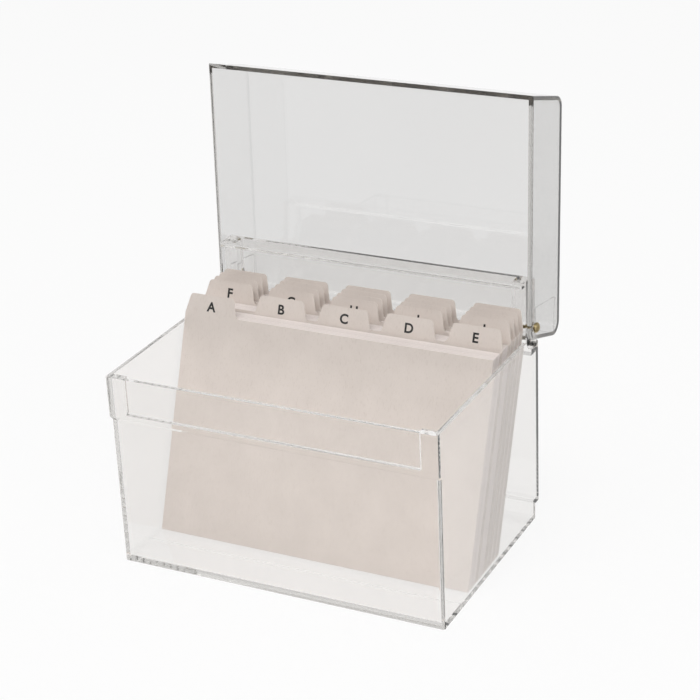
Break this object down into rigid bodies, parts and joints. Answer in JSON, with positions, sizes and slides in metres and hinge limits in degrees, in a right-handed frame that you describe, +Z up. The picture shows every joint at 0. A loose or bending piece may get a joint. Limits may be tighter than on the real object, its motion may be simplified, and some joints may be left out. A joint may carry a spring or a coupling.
{
  "type": "index card file box",
  "caption": "Clear hinged-lid file box for standard index cards, with lettered tab dividers leaning back on its floor.",
  "frame": {"origin": "centre of the box's underside, midway between its side walls and its front and rear walls", "axes": "+X to the box's right, +Y to the hinged rear, +Z up; the lid stands open at rest"},
  "size_m": [0.1632, 0.1419, 0.2038],
  "materials": {
    "clear": "clear polished",
    "metal": "satin",
    "card": "matt card stock",
    "blank": "matt card stock",
    "ink": "printed ink"
  },
  "bodies": {
    "box": {"box_body": "clear", "hinge_pin_left": "metal", "hinge_pin_right": "metal"},
    "lid": {"lid": "clear"},
    "card_a": {"divider_a": "card", "cards_a": "blank"},
    "card_b": {"divider_b": "card"},
    "card_c": {"divider_c": "card"},
    "card_d": {"divider_d": "card"},
    "card_e": {"divider_e": "card", "cards_e": "blank"},
    "card_f": {"divider_f": "card"},
    "card_g": {"divider_g": "card"},
    "card_h": {"divider_h": "card"},
    "card_i": {"divider_i": "card"},
    "card_j": {"divider_j": "card", "cards_j": "blank"},
    "card_k": {"divider_k": "card"},
    "card_l": {"divider_l": "card"},
    "card_m": {"divider_m": "card"},
    "card_n": {"divider_n": "card"},
    "card_o": {"divider_o": "card", "cards_o": "blank"},
    "card_p": {"divider_p": "card"},
    "card_q": {"divider_q": "card"},
    "card_r": {"divider_r": "card"},
    "card_s": {"divider_s": "card"},
    "card_t": {"divider_t": "card", "cards_t": "blank"},
    "card_u": {"divider_u": "card"},
    "card_v": {"divider_v": "card"},
    "card_w": {"divider_w": "card"},
    "card_xy": {"divider_xy": "card"},
    "card_z": {"divider_z": "card"}
  },
  "joints": [
    {"name": "lid_hinge", "type": "hinge", "parent": "box", "child": "lid", "pos_m": [0, 0.0495, 0.097], "axis": [1, 0, 0], "range_deg": [0, 92]},
    {"name": "flip_a", "type": "hinge", "parent": "box", "child": "card_a", "pos_m": [0, -0.02656, 0.00255], "axis": [1, 0, 0], "range_deg": [0, 30]},
    {"name": "flip_b", "type": "hinge", "parent": "box", "child": "card_b", "pos_m": [0, -0.01816, 0.00255], "axis": [1, 0, 0], "range_deg": [0, 28.94]},
    {"name": "flip_c", "type": "hinge", "parent": "box", "child": "card_c", "pos_m": [0, -0.01741, 0.00255], "axis": [1, 0, 0], "range_deg": [0, 27.88]},
    {"name": "flip_d", "type": "hinge", "parent": "box", "child": "card_d", "pos_m": [0, -0.01666, 0.00255], "axis": [1, 0, 0], "range_deg": [0, 26.82]},
    {"name": "flip_e", "type": "hinge", "parent": "box", "child": "card_e", "pos_m": [0, -0.01591, 0.00255], "axis": [1, 0, 0], "range_deg": [0, 25.75]},
    {"name": "flip_f", "type": "hinge", "parent": "box", "child": "card_f", "pos_m": [0, -0.00911, 0.00255], "axis": [1, 0, 0], "range_deg": [0, 24.69]},
    {"name": "flip_g", "type": "hinge", "parent": "box", "child": "card_g", "pos_m": [0, -0.00836, 0.00255], "axis": [1, 0, 0], "range_deg": [0, 23.63]},
    {"name": "flip_h", "type": "hinge", "parent": "box", "child": "card_h", "pos_m": [0, -0.00761, 0.00255], "axis": [1, 0, 0], "range_deg": [0, 22.57]},
    {"name": "flip_i", "type": "hinge", "parent": "box", "child": "card_i", "pos_m": [0, -0.00686, 0.00255], "axis": [1, 0, 0], "range_deg": [0, 21.51]},
    {"name": "flip_j", "type": "hinge", "parent": "box", "child": "card_j", "pos_m": [0, -0.00611, 0.00255], "axis": [1, 0, 0], "range_deg": [0, 20.44]},
    {"name": "flip_k", "type": "hinge", "parent": "box", "child": "card_k", "pos_m": [0, -0.00441, 0.00255], "axis": [1, 0, 0], "range_deg": [0, 19.38]},
    {"name": "flip_l", "type": "hinge", "parent": "box", "child": "card_l", "pos_m": [0, -0.00366, 0.00255], "axis": [1, 0, 0], "range_deg": [0, 18.32]},
    {"name": "flip_m", "type": "hinge", "parent": "box", "child": "card_m", "pos_m": [0, -0.00291, 0.00255], "axis": [1, 0, 0], "range_deg": [0, 17.25]},
    {"name": "flip_n", "type": "hinge", "parent": "box", "child": "card_n", "pos_m": [0, -0.00216, 0.00255], "axis": [1, 0, 0], "range_deg": [0, 16.19]},
    {"name": "flip_o", "type": "hinge", "parent": "box", "child": "card_o", "pos_m": [0, -0.00141, 0.00255], "axis": [1, 0, 0], "range_deg": [0, 15.13]},
    {"name": "flip_p", "type": "hinge", "parent": "box", "child": "card_p", "pos_m": [0, 0.00029, 0.00255], "axis": [1, 0, 0], "range_deg": [0, 14.07]},
    {"name": "flip_q", "type": "hinge", "parent": "box", "child": "card_q", "pos_m": [0, 0.00104, 0.00255], "axis": [1, 0, 0], "range_deg": [0, 13]},
    {"name": "flip_r", "type": "hinge", "parent": "box", "child": "card_r", "pos_m": [0, 0.00179, 0.00255], "axis": [1, 0, 0], "range_deg": [0, 11.94]},
    {"name": "flip_s", "type": "hinge", "parent": "box", "child": "card_s", "pos_m": [0, 0.00254, 0.00255], "axis": [1, 0, 0], "range_deg": [0, 10.88]},
    {"name": "flip_t", "type": "hinge", "parent": "box", "child": "card_t", "pos_m": [0, 0.00329, 0.00255], "axis": [1, 0, 0], "range_deg": [0, 9.82]},
    {"name": "flip_u", "type": "hinge", "parent": "box", "child": "card_u", "pos_m": [0, 0.00499, 0.00255], "axis": [1, 0, 0], "range_deg": [0, 8.76]},
    {"name": "flip_v", "type": "hinge", "parent": "box", "child": "card_v", "pos_m": [0, 0.00574, 0.00255], "axis": [1, 0, 0], "range_deg": [0, 7.69]},
    {"name": "flip_w", "type": "hinge", "parent": "box", "child": "card_w", "pos_m": [0, 0.00649, 0.00255], "axis": [1, 0, 0], "range_deg": [0, 6.63]},
    {"name": "flip_xy", "type": "hinge", "parent": "box", "child": "card_xy", "pos_m": [0, 0.00724, 0.00255], "axis": [1, 0, 0], "range_deg": [0, 5.57]},
    {"name": "flip_z", "type": "hinge", "parent": "box", "child": "card_z", "pos_m": [0, 0.00799, 0.00255], "axis": [1, 0, 0], "range_deg": [0, 4.5]}
  ],
  "couplings": [
    {"joint": "flip_b", "follows": "flip_a", "ratio": 0.9646},
    {"joint": "flip_c", "follows": "flip_a", "ratio": 0.9292},
    {"joint": "flip_d", "follows": "flip_a", "ratio": 0.8938},
    {"joint": "flip_e", "follows": "flip_a", "ratio": 0.8583},
    {"joint": "flip_f", "follows": "flip_a", "ratio": 0.8229},
    {"joint": "flip_g", "follows": "flip_a", "ratio": 0.7875},
    {"joint": "flip_h", "follows": "flip_a", "ratio": 0.7521},
    {"joint": "flip_i", "follows": "flip_a", "ratio": 0.7167},
    {"joint": "flip_j", "follows": "flip_a", "ratio": 0.6813},
    {"joint": "flip_k", "follows": "flip_a", "ratio": 0.6458},
    {"joint": "flip_l", "follows": "flip_a", "ratio": 0.6104},
    {"joint": "flip_m", "follows": "flip_a", "ratio": 0.575},
    {"joint": "flip_n", "follows": "flip_a", "ratio": 0.5396},
    {"joint": "flip_o", "follows": "flip_a", "ratio": 0.5042},
    {"joint": "flip_p", "follows": "flip_a", "ratio": 0.4688},
    {"joint": "flip_q", "follows": "flip_a", "ratio": 0.4333},
    {"joint": "flip_r", "follows": "flip_a", "ratio": 0.3979},
    {"joint": "flip_s", "follows": "flip_a", "ratio": 0.3625},
    {"joint": "flip_t", "follows": "flip_a", "ratio": 0.3271},
    {"joint": "flip_u", "follows": "flip_a", "ratio": 0.2917},
    {"joint": "flip_v", "follows": "flip_a", "ratio": 0.2563},
    {"joint": "flip_w", "follows": "flip_a", "ratio": 0.2208},
    {"joint": "flip_xy", "follows": "flip_a", "ratio": 0.1854},
    {"joint": "flip_z", "follows": "flip_a", "ratio": 0.15}
  ]
}
